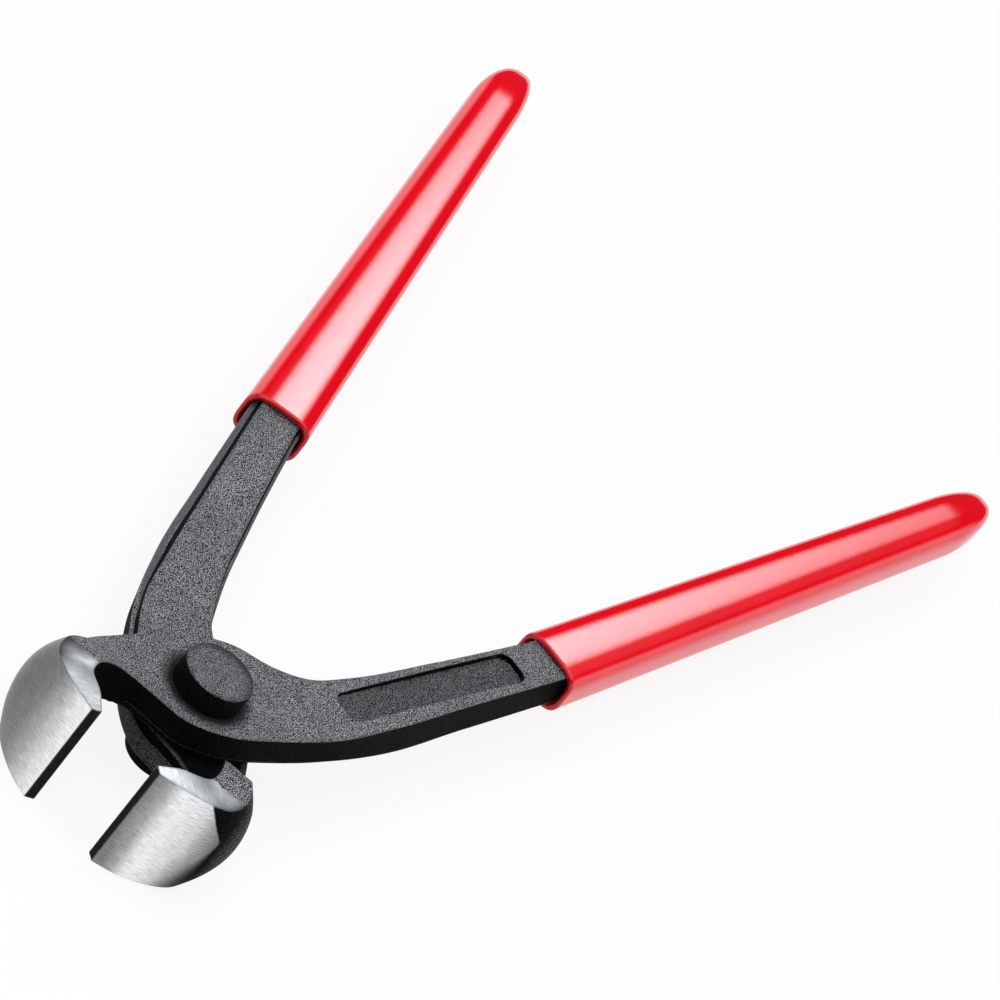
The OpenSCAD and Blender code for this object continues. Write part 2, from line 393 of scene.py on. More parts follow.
def mark_forging(arm, side):
    mesh = arm.data
    back = place_of[side].inverted()
    turn = back.to_3x3().normalized()
    points = [back @ point.co for point in mesh.vertices]
    faces = [(back @ face.center, (turn @ face.normal).normalized()) for face in mesh.polygons]
    zones = [zone_of(*face) for face in faces]
    store(mesh, "drawing", [v for place in points for v in place], kind="FLOAT_VECTOR")
    for name, rule in POINT_RULES.items():
        store(mesh, name, [rule(place, side) for place in points])
    store(mesh, "parting", [parting_share(place) for place in points])
    store(mesh, "edge", edge_points(mesh))
    for zone in ("lip", "flank", "main"):
        store(mesh, zone, [float(found == zone) for found in zones], "FACE")
    store(mesh, "level_face", [facing_level(*face) for face in faces], "FACE")
    store(mesh, "sunk", [float(is_sunk(*face)) for face in faces], "FACE")
    return {zone: zones.count(zone) for zone in ("lip", "flank", "main", "skin")}


for side, arm in arms.items():
    print(arm.name, "faces by zone:", mark_forging(arm, side))

# %% [markdown]
# ## Helpers for node trees
# Finishes, swept shapes, lamps and the room are all small trees of nodes. Building one in code is mostly
# two moves: add a node with its settings, and feed one socket from another. These helpers keep each tree
# down to its recipe. A mask is written as the two values between which it rises from nought to one, and
# two more where it has other ends.

# %% Helpers for any tree


class Nodes:
    """Short calls to grow the nodes of one tree."""

    def __init__(self, tree):
        self.tree = tree

    def add(self, kind, feeds=None, **settings):
        node = self.tree.nodes.new(kind)
        for key, value in settings.items():
            setattr(node, key, value)
        for socket, value in (feeds or {}).items():
            if isinstance(value, bpy.types.NodeSocket):
                self.tree.links.new(value, node.inputs[socket])
            else:
                node.inputs[socket].default_value = value
        return node

    def math(self, operation, a, b=0.0):
        return self.add("ShaderNodeMath", {0: a, 1: b}, operation=operation).outputs[0]

    def span(self, value, low, high, bottom=0.0, top=1.0, **settings):
        """The value carried from one range to another, straight between its ends."""
        feeds = {"Value": value, "From Min": low, "From Max": high, "To Min": bottom, "To Max": top}
        return self.add("ShaderNodeMapRange", feeds, **settings).outputs["Result"]

    def steps(self, value, low, high, bottom=0.0, top=1.0):
        """The same with soft ends."""
        return self.span(value, low, high, bottom, top, interpolation_type="SMOOTHSTEP")

    def split(self, vector):
        return self.add("ShaderNodeSeparateXYZ", {0: vector}).outputs

    def join(self, x, y, z=0.0):
        return self.add("ShaderNodeCombineXYZ", {0: x, 1: y, 2: z}).outputs[0]


print("node helpers ready")

# %% [markdown]
# A finish is the tree of a material. All its patterns read Object coordinates or the stored points, so
# they stay on the surface when the tool opens.

# %% Helpers for finishes
TILT_AXIS = (1.0, 0.6, 0.3)
TILT_ANGLE = 0.9


class Finish(Nodes):
    """A material with one main shader."""

    def __init__(self, name):
        self.material = bpy.data.materials.new(name)
        self.material.use_nodes = True
        super().__init__(self.material.node_tree)
        self.shader = self.tree.nodes["Principled BSDF"]

    def feed(self, socket, source):
        self.tree.links.new(source, self.shader.inputs[socket])

    def still(self, **values):
        for socket, value in values.items():
            self.shader.inputs[socket.replace("_", " ")].default_value = value

    def blend(self, share, first, second):
        feeds = {0: share, 6: first, 7: second}
        return self.add("ShaderNodeMix", feeds, data_type="RGBA").outputs[2]

    def level(self, share, first, second):
        feeds = {0: share, 2: first, 3: second}
        return self.add("ShaderNodeMix", feeds, data_type="FLOAT").outputs[0]

    def noise(self, vector, scale, detail=2.0, roughness=0.55):
        feeds = {"Vector": vector, "Scale": scale, "Detail": detail, "Roughness": roughness}
        return self.add("ShaderNodeTexNoise", feeds).outputs["Fac"]

    def stored(self, name, output="Fac"):
        return self.add("ShaderNodeAttribute", attribute_name=name).outputs[output]

    def spot(self):
        return self.add("ShaderNodeTexCoord").outputs["Object"]

    def tilted(self, vector):
        """The same points turned askew, so that no flat face follows the rows of a noise."""
        feeds = {"Vector": vector, "Axis": TILT_AXIS, "Angle": TILT_ANGLE}
        return self.add("ShaderNodeVectorRotate", feeds).outputs[0]

    def from_axis(self, place):
        """Distance from the upright axis through the origin."""
        flat = self.join(place[0], place[1])
        return self.add("ShaderNodeVectorMath", {0: flat}, operation="LENGTH").outputs["Value"]

    def bumps(self, height, strength, distance):
        feeds = {"Height": height, "Strength": strength, "Distance": distance}
        self.feed("Normal", self.add("ShaderNodeBump", feeds).outputs[0])


print("finish helpers ready")

# %% [markdown]
# ## Blasted and ground steel
# The black skin is sandblasted: under soft light it sparkles in grains of a fraction of a millimetre.
# The ground zone shows fine scratches that run from the lip to the heel, and slanted ones on the flanks.
# Two materials would need a hard border between faces, so one finish holds both and mixes them by the
# stored depth. Noise of about a millimetre added to the depth makes the border ragged.

# %% Blasted skin
FACE_DARK = (0.002, 0.002, 0.002, 1)
FACE_GRAIN = (0.540, 0.543, 0.548, 1)
# The next two colours are the skin painted in shade, used on walls, in the panel, round the rivet and on
# its side.
SHADED_DARK = (0.001, 0.001, 0.001, 1)
SHADED_GRAIN = (0.010, 0.010, 0.011, 1)
TRIMMED_LIT_DIM = (0.07, 0.07, 0.072, 1)
TRIMMED_LIT = (0.16, 0.16, 0.165, 1)
BLOTCH_PER_M = 160
GRAIN_SHOWS = (0.552, 0.575)
BLOTCH_DIMS = (0.2, 0.75, 0.8, 1.0)
PANEL_PAINTED_SHADE = 0.5
RIVET_SHADE = (8.0, 5.6, 0.0, 0.95)
LEDGE_FOOT = (-0.60, -0.55)
LEDGE_TOP = (-0.44, -0.48)
LEDGE_START = (12.0, 15.0)
LEDGE_GRAIN = (0.45, 0.60)


def blasted_skin(f, spot, place, grain, level):
    """Speckled level faces, walls painted black as shade, painted shade in the panel and round the rivet,
    and a grey trimmed-flash ledge painted lighter as if lit.
    """
    blotch = f.noise(spot, BLOTCH_PER_M)
    pepper = f.math("MULTIPLY", f.steps(grain, *GRAIN_SHOWS), f.steps(blotch, *BLOTCH_DIMS))
    face = f.blend(pepper, FACE_DARK, FACE_GRAIN)
    # Painted shade on the floor of the sunk panel.
    face = f.blend(f.math("MULTIPLY", f.stored("sunk"), PANEL_PAINTED_SHADE), face, SHADED_DARK)
    # Painted shadow round the rivet's base, fading out with distance from its axis.
    face = f.blend(f.steps(f.from_axis(place), *RIVET_SHADE), face, SHADED_DARK)
    # Walls take the painted shade: a darker copy of the same speckled skin.
    skin = f.blend(level, f.blend(pepper, SHADED_DARK, SHADED_GRAIN), face)
    # Below the parting line on the shank: a grey band of trimmed flash, painted lighter as a lit ledge.
    share = f.stored("parting")
    ledge = f.math("MULTIPLY", f.steps(share, *LEDGE_FOOT), f.steps(share, *LEDGE_TOP))
    on_shank = f.math("MULTIPLY", f.steps(place[0], *LEDGE_START), ledge)
    return f.blend(on_shank, skin, f.blend(f.steps(grain, *LEDGE_GRAIN), TRIMMED_LIT_DIM, TRIMMED_LIT))


print("blasted skin has", BLOTCH_PER_M, "blotches a metre")

# %% Ground steel
STEEL = (0.97, 0.975, 0.985, 1)
# The ground steel's colour in painted shade, where its painted reflection is dark and along its edges.
STEEL_SHADE_COLOUR = (0.010, 0.010, 0.010, 1)
FLANK_SHADE = 0.45
MAIN_SCRATCHES_PER_MM = (0.6, 11.0)
FLANK_SCRATCHES_PER_MM = (7.0, 0.35)
SCRATCH_NOISE = {"scale": 1.0, "detail": 3.0, "roughness": 0.7}
STREAKS = (0.28, 0.72, 0.60, 1.34)
EDGE_SHADE = (0.8, 1.0, 0.0, 0.2)
RIPPLE_PER_M = 900
RIPPLE_SWING = (0.3, 2.0)
BORDER_OUTER = -0.12
BORDER_INNER = 0.18


def scratches(f, place, flank):
    """Fine lines from lip to heel on the jaw's outside, and slanted ones on its flanks."""
    down = f.math("MULTIPLY", place[1], MAIN_SCRATCHES_PER_MM[0])
    sideways = f.math("MULTIPLY", place[2], MAIN_SCRATCHES_PER_MM[1])
    across = f.math("MULTIPLY", f.math("ADD", place[0], place[1]), FLANK_SCRATCHES_PER_MM[0])
    along_it = f.math("MULTIPLY", f.math("SUBTRACT", place[0], place[1]), FLANK_SCRATCHES_PER_MM[1])
    main = f.noise(f.join(down, sideways), **SCRATCH_NOISE)
    slanted = f.noise(f.join(across, along_it), **SCRATCH_NOISE)
    return f.level(flank, main, slanted)


def ground_steel(f, marks, flank, edge):
    """Painted reflection from the stored tables, streaked by the scratches, with painted shade along the
    edges.
    """
    beside = f.math("MULTIPLY", f.stored("flank_painted_shine"), FLANK_SHADE)
    painted_shine = f.level(flank, f.stored("main_painted_shine"), beside)
    streaked = f.math("MULTIPLY", painted_shine, f.steps(marks, *STREAKS))
    steel = f.blend(streaked, STEEL_SHADE_COLOUR, STEEL)
    return f.blend(f.steps(edge, *EDGE_SHADE), steel, STEEL_SHADE_COLOUR)


def ground_share(f, spot, flank):
    """One on ground steel and nought on black skin, with a ragged border."""
    depth = f.level(flank, f.stored("main_depth"), f.stored("flank_depth"))
    swing = f.level(flank, *RIPPLE_SWING)
    ripple = f.math("MULTIPLY", f.math("SUBTRACT", f.noise(spot, RIPPLE_PER_M), 0.5), swing)
    inner = f.math("ADD", f.stored("softness"), BORDER_INNER)
    ragged = f.steps(f.math("ADD", depth, ripple), BORDER_OUTER, inner)
    return f.math("MULTIPLY", ragged, f.math("ADD", f.stored("main"), flank))


print("border of the ground zone is ragged by up to", RIPPLE_SWING[1] / 2, "mm")

# %% Finish of the forgings
WORN = (0.26, 0.26, 0.26, 1)
LIP_BLACK = (0.014, 0.014, 0.014, 1)
GRAIN_PER_M = 8400
LEVEL_SLOPE = (0.45, 0.75)
WORN_EDGE = (0.6, 1.0)
WORN_GRAIN = (0.42, 0.62, 0.0, 0.55)
SKIN_ROUGHNESS = (0.3, 0.7, 0.68, 0.54)
STEEL_ROUGHNESS = (0.3, 0.7, 0.44, 0.34)
SKIN_GLOSS = (0.02, 0.15)
SCRATCH_DEPTH = 0.06
GRAIN_HEIGHT = 0.13 * MM


def forged_finish():
    f = Finish("forged_steel")
    spot = f.spot()
    flank = f.stored("flank")
    edge = f.stored("edge")
    place = f.split(f.stored("drawing", "Vector"))
    grain = f.noise(f.tilted(spot), GRAIN_PER_M, detail=0.0)
    # Level faces and the rear arm's painted side light show the skin lit; everything else takes the
    # painted shade.
    level = f.math("MAXIMUM", f.steps(f.stored("level_face"), *LEVEL_SLOPE), f.stored("side_light"))
    marks = scratches(f, place, flank)
    ground = ground_share(f, spot, flank)
    worn = f.math("MULTIPLY", f.steps(edge, *WORN_EDGE), f.steps(grain, *WORN_GRAIN))
    worn = f.math("MULTIPLY", worn, f.math("SUBTRACT", 1.0, ground))

    skin = blasted_skin(f, spot, place, grain, level)
    colour = f.blend(ground, skin, ground_steel(f, marks, flank, edge))
    colour = f.blend(f.stored("lip"), colour, LIP_BLACK)
    f.feed("Base Color", f.blend(worn, colour, WORN))
    f.feed("Metallic", ground)
    rough_skin = f.steps(grain, *SKIN_ROUGHNESS)
    rough_steel = f.steps(marks, *STEEL_ROUGHNESS)
    f.feed("Roughness", f.level(ground, rough_skin, rough_steel))
    f.feed("Specular IOR Level", f.level(level, *SKIN_GLOSS))
    height = f.level(ground, grain, f.math("MULTIPLY", marks, SCRATCH_DEPTH))
    f.bumps(height, strength=1.0, distance=GRAIN_HEIGHT)
    f.still(Anisotropic=0.5, Anisotropic_Rotation=0.25)
    around = f.add("ShaderNodeTangent", direction_type="RADIAL", axis="Z")
    f.feed("Tangent", around.outputs[0])
    return f.material


forged_steel = forged_finish()
for side, arm in arms.items():
    arm.data.materials.clear()
    arm.data.materials.append(forged_steel)
    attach(arm, side + "_half")
    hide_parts(side + "_arm")
print("forgings carry", forged_steel.name)

# %% [markdown]
# ## Rivet
# One rivet holds the lap: a tall, flat front head, a shank, and a head formed at the back. Turned parts
# are bodies of revolution, so the outline of one half is enough. The Screw modifier could spin it, but a
# short loop shows what happens: every outline point becomes a ring, and neighbouring rings are joined.

# %% Outline of the rivet
RIVET_D = 7.5
HEAD_D = 10.8
HEAD_START = 5.0
HEAD_H = 3.9
HEAD_END = HEAD_START + HEAD_H
TAIL_D = 10.0
TAIL_START = -5.1
TAIL_END = -9.4
HEAD_ROUND = 0.45
ARC_STEPS = 6
FLAT_RINGS = (0.75, 0.4)


def rounded(radius, height, corner, start_deg):
    """Points of a quarter arc inside the corner at this radius and height."""
    upward = 1 if start_deg == 0 else -1
    middle = (radius - corner, height - upward * corner)
    turns = [radians(start_deg + 90 * k / ARC_STEPS) for k in range(ARC_STEPS + 1)]
    return [(middle[0] + corner * cos(t), middle[1] + corner * sin(t)) for t in turns]


def rivet_outline():
    """Radius and height of each ring, from the middle of the back to the middle of the front."""
    back = [(share * (TAIL_D / 2 - HEAD_ROUND), TAIL_END) for share in reversed(FLAT_RINGS)]
    tail = rounded(TAIL_D / 2, TAIL_END, HEAD_ROUND, -90)
    under_tail = [(TAIL_D / 2, TAIL_START), (RIVET_D / 2, TAIL_START)]
    under_head = [(RIVET_D / 2, HEAD_START), (HEAD_D / 2, HEAD_START)]
    head = rounded(HEAD_D / 2, HEAD_END, HEAD_ROUND, 0)
    front = [(share * (HEAD_D / 2 - HEAD_ROUND), HEAD_END) for share in FLAT_RINGS]
    return back + tail + under_tail + under_head + head + front


print("rivet outline has", len(rivet_outline()), "points")

# %% Spin it
RIVET_SEGMENTS = 96
SHARP_ANGLE = radians(40)


def spun_mesh(name, outline):
    shape = bmesh.new()
    turns = [2 * pi * k / RIVET_SEGMENTS for k in range(RIVET_SEGMENTS)]
    rings = [[shape.verts.new((r * cos(t), r * sin(t), z)) for t in turns] for r, z in outline]
    for lower, upper in zip(rings, rings[1:]):
        for k in range(RIVET_SEGMENTS):
            after = (k + 1) % RIVET_SEGMENTS
            shape.faces.new((lower[k], lower[after], upper[after], upper[k]))
    shape.faces.new(list(reversed(rings[0])))
    shape.faces.new(rings[-1])
    bmesh.ops.recalc_face_normals(shape, faces=shape.faces)
    mesh = bpy.data.meshes.new(name)
    shape.to_mesh(mesh)
    shape.free()
    mesh.transform(lift @ to_metres)
    mesh.shade_smooth()
    mesh.set_sharp_from_angle(angle=SHARP_ANGLE)
    return mesh


rivet = plain_object("turned_rivet", spun_mesh("turned_rivet", rivet_outline()))
print(rivet.name, "has", len(rivet.data.polygons), "faces")

# %% [markdown]
# The rivet is blackened like the arms but finer and darker. Its flat top is painted lighter on the side
# of the jaws and keeps a painted shade towards the far rim, and the rounded edge carries a thin painted
# highlight; its side takes the forgings' painted shade. One distance, measured from a point beside the
# axis, and one stored slope are enough to tell these places apart.

# %% Finish of the rivet
RIVET_DARK = (0.003, 0.003, 0.003, 1)
RIVET_GRAIN = (0.33, 0.33, 0.34, 1)
RIVET_EDGE_HIGHLIGHT = (0.16, 0.16, 0.16, 1)
FINER_GRAIN = 1.1
CLOUD_PER_M = 500
RIVET_GRAIN_SHOWS = (0.51, 0.57)
CLOUD_DIMS = (0.25, 0.7, 0.7, 1.0)
TOP_SLOPE = (0.40, 0.80)
ROUNDING_FOOT = (0.30, 0.55)
ROUNDING_TOP = (0.85, 0.70)
EDGE_GRAIN = (0.40, 0.55)
LIGHT_OFFSET = Vector((1.0, 0.0, 0.0)) * MM
TOP_PAINTED_LIGHT = (6.0 * MM, 4.0 * MM, 0.15, 1.0)
RIVET_ROUGHNESS = (0.3, 0.7, 0.60, 0.46)
RIVET_BUMP = 0.08 * MM


def rivet_finish():
    f = Finish("rivet_steel")
    spot = f.spot()
    grain = f.noise(f.tilted(spot), GRAIN_PER_M * FINER_GRAIN, detail=0.0)
    cloud = f.noise(spot, CLOUD_PER_M)
    pepper = f.math("MULTIPLY", f.steps(grain, *RIVET_GRAIN_SHOWS), f.steps(cloud, *CLOUD_DIMS))
    slope = f.stored("level_face")
    level = f.steps(slope, *TOP_SLOPE)
    shifted = f.add("ShaderNodeVectorMath", {0: spot, 1: LIGHT_OFFSET}, operation="ADD").outputs[0]
    # Painted light on the top, shifted towards the jaws, with painted shade towards the far rim.
    top_light = f.steps(f.from_axis(f.split(shifted)), *TOP_PAINTED_LIGHT)
    top = f.blend(f.math("MULTIPLY", pepper, top_light), RIVET_DARK, RIVET_GRAIN)
    # A thin painted highlight on the rounded edge of the head.
    rounding = f.math("MULTIPLY", f.steps(slope, *ROUNDING_FOOT), f.steps(slope, *ROUNDING_TOP))
    top = f.blend(f.math("MULTIPLY", rounding, f.steps(grain, *EDGE_GRAIN)), top, RIVET_EDGE_HIGHLIGHT)
    # The rivet's side takes the same painted shade as the forgings' walls.
    f.feed("Base Color", f.blend(level, f.blend(pepper, SHADED_DARK, SHADED_GRAIN), top))
    f.feed("Roughness", f.steps(grain, *RIVET_ROUGHNESS))
    f.feed("Specular IOR Level", f.level(level, *SKIN_GLOSS))
    f.bumps(grain, strength=0.6, distance=RIVET_BUMP)
    return f.material


store(rivet.data, "level_face", [abs(face.normal.z) for face in rivet.data.polygons], "FACE")
rivet.data.materials.append(rivet_finish())
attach(rivet, "front_half")
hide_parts("pivot_rivet")
print("rivet finished")

# %% [markdown]
# ## Dipped sleeves
# The handles are dipped in liquid plastic, which sets as a thick skin: a rounded section that narrows
# towards the tip, a bullet-shaped end that leans a little inwards, and a soft rim round the mouth. Such a
# shape follows a rule along one line, which is what Geometry Nodes is good at. The tree sweeps a circle
# along a line and then places each point by formula. The sweep's first stretch is the bore, seen from
# the bottom outwards; it turns round the rim, runs down the outside and closes in the tip. The section
# is a superellipse: a power above two makes it squarer, and it fades from squarish at the mouth to
# rounder at the tip.

# %% Both ends of the tree


class Weave(Nodes):
    """A Geometry Nodes tree with named sizes."""

    def __init__(self, name):
        super().__init__(bpy.data.node_groups.new(name, "GeometryNodeTree"))
        self.tree.is_modifier = True
        self.entry = self.tree.nodes.new("NodeGroupInput")
        self.tree.interface.new_socket("Geometry", in_out="OUTPUT", socket_type="NodeSocketGeometry")

    def size(self, name, kind="NodeSocketFloat"):
        self.tree.interface.new_socket(name, in_out="INPUT", socket_type=kind)
        return self.entry.outputs[name]


def swept_tube(w, rings, sides):
    """A tube of radius one, in this many rings along a line from nought to one."""
    line = w.add("GeometryNodeCurvePrimitiveLine", {"Start": (0, 0, 0), "End": (1, 0, 0)})
    dots = w.add("GeometryNodeResampleCurve", {"Curve": line.outputs[0], "Count": rings})
    hoop = w.add("GeometryNodeCurvePrimitiveCircle", {"Resolution": sides, "Radius": 1.0})
    feeds = {"Curve": dots.outputs[0], "Profile Curve": hoop.outputs[0]}
    return w.add("GeometryNodeCurveToMesh", feeds).outputs[0]


def close_and_dress(w, shape, plastic):
    """Merge the points of each closed end, make the result real and give it its plastic."""
    closed = w.add("GeometryNodeMergeByDistance", {"Geometry": shape, "Distance": WELD})
    real = w.add("GeometryNodeRealizeInstances", {"Geometry": closed.outputs[0]})
    dressed = w.add("GeometryNodeSetMaterial", {"Geometry": real.outputs[0], "Material": plastic})
    leave = w.tree.nodes.new("NodeGroupOutput")
    w.tree.links.new(dressed.outputs[0], leave.inputs[0])


print("sleeve helpers ready")

# %% Geometry Nodes tree of a sleeve
CAP_SHARE = 0.02
BORE_SHARE = 0.12
RIM_SHARE = 0.20
BODY_SHARE = 0.66
QUARTER = pi / 2


def sleeve_tree():
    w = Weave("dipped_sleeve")
    length = w.size("Length")
    mouth_width = w.size("Mouth Width")
    tip_width = w.size("Tip Width")
    thickness = w.size("Thickness")
    tip_length = w.size("Tip Length")
    lean = w.size("Tip Lean")
    rim = w.size("Rim Radius")
    bore = w.size("Bore Depth")
    snug = w.size("Bore Snugness")
    mouth_power = w.size("Mouth Squareness")
    tip_power = w.size("Tip Squareness")
    tube = swept_tube(w, w.size("Rings", "NodeSocketInt"), w.size("Sides", "NodeSocketInt"))
    plastic = w.size("Plastic", "NodeSocketMaterial")

    spot = w.split(w.add("GeometryNodeInputPosition").outputs[0])
    share = spot[0]
    rim_turn = w.span(share, BORE_SHARE, RIM_SHARE, -QUARTER, QUARTER)
    tip_turn = w.span(share, BODY_SHARE, 1.0, 0.0, QUARTER)
    straight = w.math("SUBTRACT", w.math("SUBTRACT", length, tip_length), rim)
    x = w.span(share, CAP_SHARE, BORE_SHARE, bore, 0.0)
    x = w.math("ADD", x, w.math("SUBTRACT", rim, w.math("MULTIPLY", rim, w.math("COSINE", rim_turn))))
    x = w.math("ADD", x, w.span(share, RIM_SHARE, BODY_SHARE, 0.0, straight))
    x = w.math("ADD", x, w.math("MULTIPLY", tip_length, w.math("SINE", tip_turn)))

    inset = w.math("SUBTRACT", rim, w.math("MULTIPLY", rim, w.math("SINE", rim_turn)))
    inset = w.math("ADD", inset, w.span(share, CAP_SHARE, BORE_SHARE, snug, 0.0))
    closing = w.math("MULTIPLY", w.span(share, 0.0, CAP_SHARE), w.math("COSINE", tip_turn))
    power = w.span(x, 0.0, length, mouth_power, tip_power)
    bend = w.math("DIVIDE", 2.0, power)

    def reach(side, full):
        half = w.math("SUBTRACT", w.math("MULTIPLY", full, 0.5), inset)
        squared = w.math("POWER", w.math("ABSOLUTE", side), bend)
        signed = w.math("MULTIPLY", squared, w.math("SIGN", side))
        return w.math("MULTIPLY", w.math("MULTIPLY", half, closing), signed)

    width = w.span(x, 0.0, w.math("SUBTRACT", length, tip_length), mouth_width, tip_width)
    leaning = w.math("MULTIPLY", lean, w.math("SUBTRACT", 1.0, w.math("COSINE", tip_turn)))
    y = w.math("ADD", reach(spot[1], width), leaning)
    place = w.join(x, y, reach(spot[2], thickness))
    formed = w.add("GeometryNodeSetPosition", {"Geometry": tube, "Position": place})
    close_and_dress(w, formed.outputs[0], plastic)
    return w.tree


sleeve_rule = sleeve_tree()
print("sleeve tree has", len(sleeve_rule.nodes), "nodes")

# %% [markdown]
# ## Red plastic
# Dipped vinyl is a strong, even red with a wet gloss. The dip leaves a faint orange peel a few
# millimetres across, and handling leaves a duller bloom. Both are small: too much, and it reads as
# paint. The rim is painted darker as shade, where the skin ends against the steel. Each point of a
# sleeve will store its distance from the mouth, so that the finish can find the rim.

# %% Finish of the sleeves
RED = (0.86, 0.000, 0.010, 1)
RED_DEEP = (0.80, 0.000, 0.008, 1)
RED_RIM_SHADE = (0.45, 0.000, 0.005, 1)
TINT_PER_M = 90
PEEL_PER_M = 420
BLOOM_PER_M = 1500
TINT_SHOWS = (0.3, 0.7)
RIM_SHADE = (0.40, 0.05)
PLASTIC_ROUGHNESS = (0.3, 0.7, 0.08, 0.12)
PEEL_HEIGHT = 0.05 * MM


def dipped_finish():
    f = Finish("dipped_red")
    spot = f.spot()
    tint = f.steps(f.noise(spot, TINT_PER_M), *TINT_SHOWS)
    # Painted shade on the rim, within half a millimetre of the mouth.
    at_rim = f.steps(f.stored("from_mouth"), *RIM_SHADE)
    f.feed("Base Color", f.blend(at_rim, f.blend(tint, RED_DEEP, RED), RED_RIM_SHADE))
    f.feed("Roughness", f.steps(f.noise(spot, BLOOM_PER_M), *PLASTIC_ROUGHNESS))
    f.bumps(f.noise(spot, PEEL_PER_M, roughness=0.5), strength=0.15, distance=PEEL_HEIGHT)
    f.still(Specular_IOR_Level=0.5, IOR=1.5)
    return f.material


dipped_red = dipped_finish()
print("plastic finish:", dipped_red.name)

# %% [markdown]
# The tree makes one straight sleeve from its mouth at the origin. Its sizes go in through the sockets'
# identifiers, and the result is turned into a plain mesh. The handle's line leans a little, so every
# point is shifted by the line's own offset before the arm's matrix carries it to its place.

# %% Make the two sleeves
GRIP_START = 70.0
GRIP_LEN = 125.5
TIP_MARGIN = 0.05
MOUTH_Y = 11.2
TIP_Y = 7.8
MOUTH_Z = 0.7
TIP_Z = 0.1
SLEEVE_SIZES = {
    "Length": (GRIP_LEN - TIP_MARGIN) * MM,
    "Mouth Width": 11.2 * MM,
    "Tip Width": 8.74 * MM,
    "Thickness": 8.2 * MM,
    "Tip Length": 16.0 * MM,
    "Tip Lean": 1.4 * MM,
    "Rim Radius": 0.46 * MM,
    "Bore Depth": 114.5 * MM,
    "Bore Snugness": 0.35 * MM,
    "Mouth Squareness": 3.8,
    "Tip Squareness": 3.2,
    "Rings": 200,
    "Sides": 96,
    "Plastic": dipped_red,
}


def straight_sleeve(name):
    piece = plain_object(name, bpy.data.meshes.new(name))
    sweep = piece.modifiers.new("sweep", "NODES")
    sweep.node_group = sleeve_rule
    for item in sleeve_rule.interface.items_tree:
        if item.in_out == "INPUT":
            sweep[item.identifier] = SLEEVE_SIZES[item.name]
    as_plain_mesh(piece, name)
    return piece


def onto_handle(piece, side):
    store(piece.data, "from_mouth", [point.co.x / MM for point in piece.data.vertices])
    for point in piece.data.vertices:
        share = point.co.x / (GRIP_LEN * MM)
        straight = point.co / MM
        sideways = MOUTH_Y * (share - 1) - TIP_Y * share
        upwards = MOUTH_Z + (TIP_Z - MOUTH_Z) * share
        point.co = straight + Vector((GRIP_START, sideways, upwards))
    piece.data.transform(place_of[side])
    shape = bmesh.new()
    shape.from_mesh(piece.data)
    bmesh.ops.recalc_face_normals(shape, faces=shape.faces)
    shape.to_mesh(piece.data)
    shape.free()
    piece.data.shade_smooth()


for side in place_of:
    sleeve = straight_sleeve(side + "_sleeve")
    onto_handle(sleeve, side)
    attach(sleeve, side + "_half")
    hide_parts(side + "_grip")
    print(sleeve.name, "has", len(sleeve.data.polygons), "faces")

# %% [markdown]
# ## Floor
# The tool lies on a plain white sheet. The sheet is white to the camera and in reflections, through
# Light Path. It stays an ordinary matt sheet to every other ray, so it lights nothing by itself and
# still takes the shadow.

# %% Lay the sheet
FLOOR_SIDE = 12.0
SHEET_WHITE = (0.86, 0.86, 0.86, 1)
PURE_WHITE = (1, 1, 1, 1)
SHADOW_KEPT = 0.12


def sheet_finish():
    f = Finish("white_sheet")
    ray = f.add("ShaderNodeLightPath").outputs
    seen = f.math("MAXIMUM", ray["Is Camera Ray"], ray["Is Glossy Ray"])
    seen = f.math("MAXIMUM", seen, ray["Is Transmission Ray"])
    shone = f.math("MULTIPLY", seen, 1 - SHADOW_KEPT)
    f.still(Base_Color=SHEET_WHITE, Roughness=0.9, Specular_IOR_Level=0.0)
    glow = f.add("ShaderNodeEmission", {"Color": PURE_WHITE, "Strength": 1.0})
    mixed = f.add("ShaderNodeMixShader", {0: shone, 1: f.shader.outputs[0], 2: glow.outputs[0]})
    f.tree.links.new(mixed.outputs[0], f.tree.nodes["Material Output"].inputs["Surface"])
    return f.material


half_side = FLOOR_SIDE / 2
floor_z = cad_box[0][2]
corners = [(-1, -1), (1, -1), (1, 1), (-1, 1)]
sheet = bpy.data.meshes.new("white_sheet")
sheet.from_pydata([(x * half_side, y * half_side, floor_z) for x, y in corners], [], [(0, 1, 2, 3)])
sheet.materials.append(sheet_finish())
floor = plain_object("white_sheet", sheet)
print("floor at", round(floor_z / MM, 3), "mm")

# %% [markdown]
# ## Light
# A large soft box behind the handles lights the top faces by reflection, which is where the long pale
# streaks on the sleeves come from. Its cloth is dimmer towards its edges, so the streaks end softly. A
# second box stands beside the camera for the ground jaws. All light is very slightly cool.

# %% Soft boxes
LIGHT_COLOR = (0.96, 1.0, 1.04)
LIGHT_AIM = Vector((0.06, 0, 0.01))
STREAK_FADE = (("X", 0.10, 0.50), ("X", 0.82, 0.52), ("Y", 0.05, 0.64))


def fade_cloth(lamp, fade):
    """Dim the cloth of a soft box: each fade tells a direction, where it is dark and where full."""
    lamp.use_nodes = True
    cloth = Nodes(lamp.node_tree)
    spot = cloth.split(cloth.add("ShaderNodeNewGeometry").outputs["Parametric"])
    share = 1.0
    for way, dark, full in fade:
        share = cloth.math("MULTIPLY", cloth.steps(spot[way], dark, full), share)
    lamp.node_tree.links.new(share, lamp.node_tree.nodes["Emission"].inputs["Strength"])


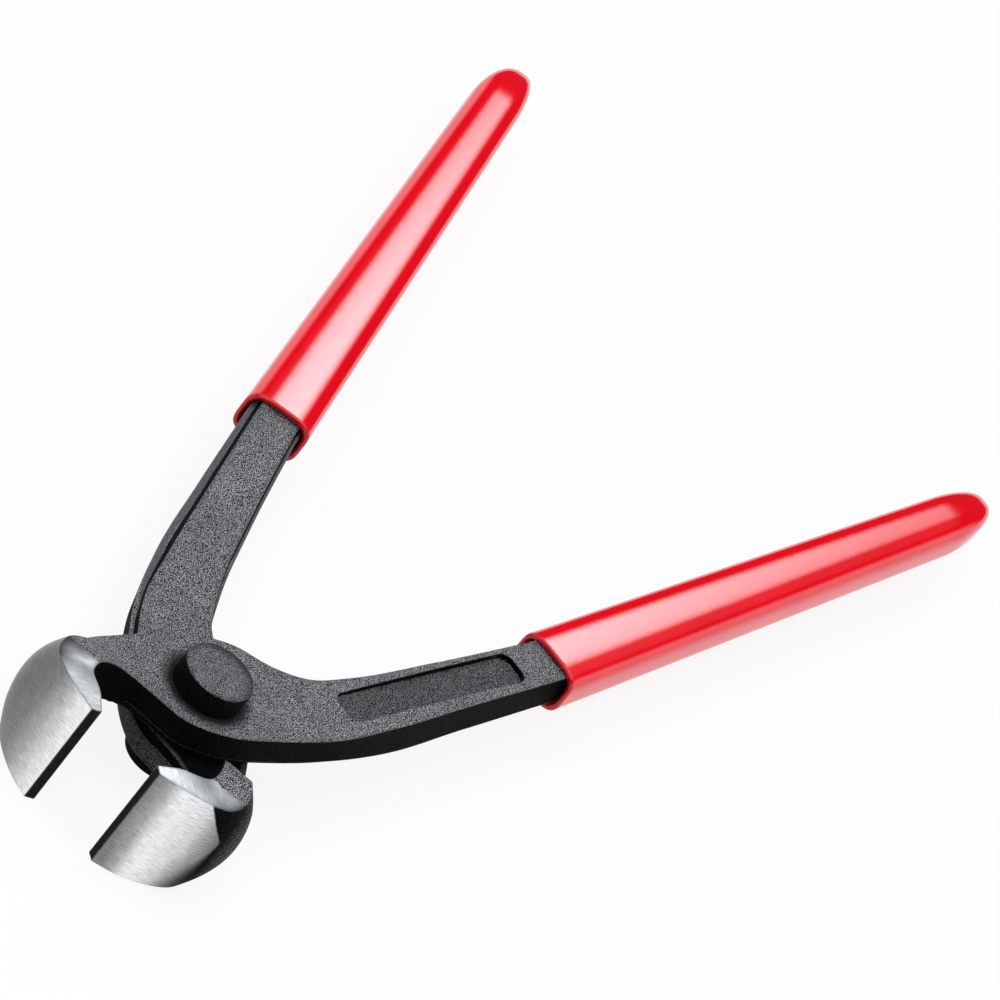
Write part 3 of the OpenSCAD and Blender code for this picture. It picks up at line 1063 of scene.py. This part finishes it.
def soft_box(name, toward, distance, size, watts, fade=None):
    """A rectangular lamp in this direction from the tool, facing the middle of the tool.

    A fade lists stretches, across (X) or upwards (Y), over which its cloth brightens from dark to full.
    """
    lamp = bpy.data.lights.new(name, "AREA")
    lamp.shape = "RECTANGLE"
    lamp.size, lamp.size_y = size
    lamp.energy = watts
    lamp.color = LIGHT_COLOR
    if fade:
        fade_cloth(lamp, fade)
    box = bpy.data.objects.new(name, lamp)
    way = Vector(toward).normalized()
    facing = way.to_track_quat("Z", "Y").to_matrix().to_4x4()
    box.matrix_world = Matrix.Translation(LIGHT_AIM + way * distance) @ facing
    bpy.context.scene.collection.objects.link(box)
    print(name, "gives", watts, "W from", distance, "m")


soft_box(
    "streak_box", toward=(0.829, 0.124, 0.545), distance=2.5, size=(1.2, 0.9),
    watts=34.5, fade=STREAK_FADE,
)
soft_box("jaw_box", toward=(-0.85, 0.15, 0.5), distance=1.0, size=(0.6, 0.4), watts=1.5)

# %% [markdown]
# The room itself is the world behind everything. A bright ceiling fills the blasted faces, and a low
# screen on either side draws a thin pale band along the flanks of the sleeves. A picture of a studio
# could light it too, but a few ramps over the direction are enough and easy to change.

# %% The room
CEILING = (0.5, 1.0, 0.05, 1.9)
LEFT_SCREEN = (0.48, 0.62, 0.0, 1.25)
RIGHT_SCREEN = (-0.40, -0.65, 0.0, 1.3)
SCREEN_TOP = (0.48, 0.30)


def studio_room():
    """A dark room with a bright ceiling and low white screens along both sides."""
    room = bpy.data.worlds.new("studio_room")
    room.use_nodes = True
    walls = Nodes(room.node_tree)
    way = walls.split(walls.add("ShaderNodeTexCoord").outputs["Generated"])
    ceiling = walls.span(way["Z"], *CEILING)
    left = walls.span(way["Y"], *LEFT_SCREEN)
    right = walls.span(way["Y"], *RIGHT_SCREEN)
    height = walls.span(way["Z"], *SCREEN_TOP)
    screens = walls.math("MULTIPLY", walls.math("ADD", left, right), height)
    backdrop = room.node_tree.nodes["Background"].inputs
    room.node_tree.links.new(walls.math("ADD", ceiling, screens), backdrop["Strength"])
    backdrop["Color"].default_value = (*LIGHT_COLOR, 1)
    return room


bpy.context.scene.world = studio_room()
bpy.context.scene.view_settings.view_transform = "Standard"
print("room is", bpy.context.scene.world.name)
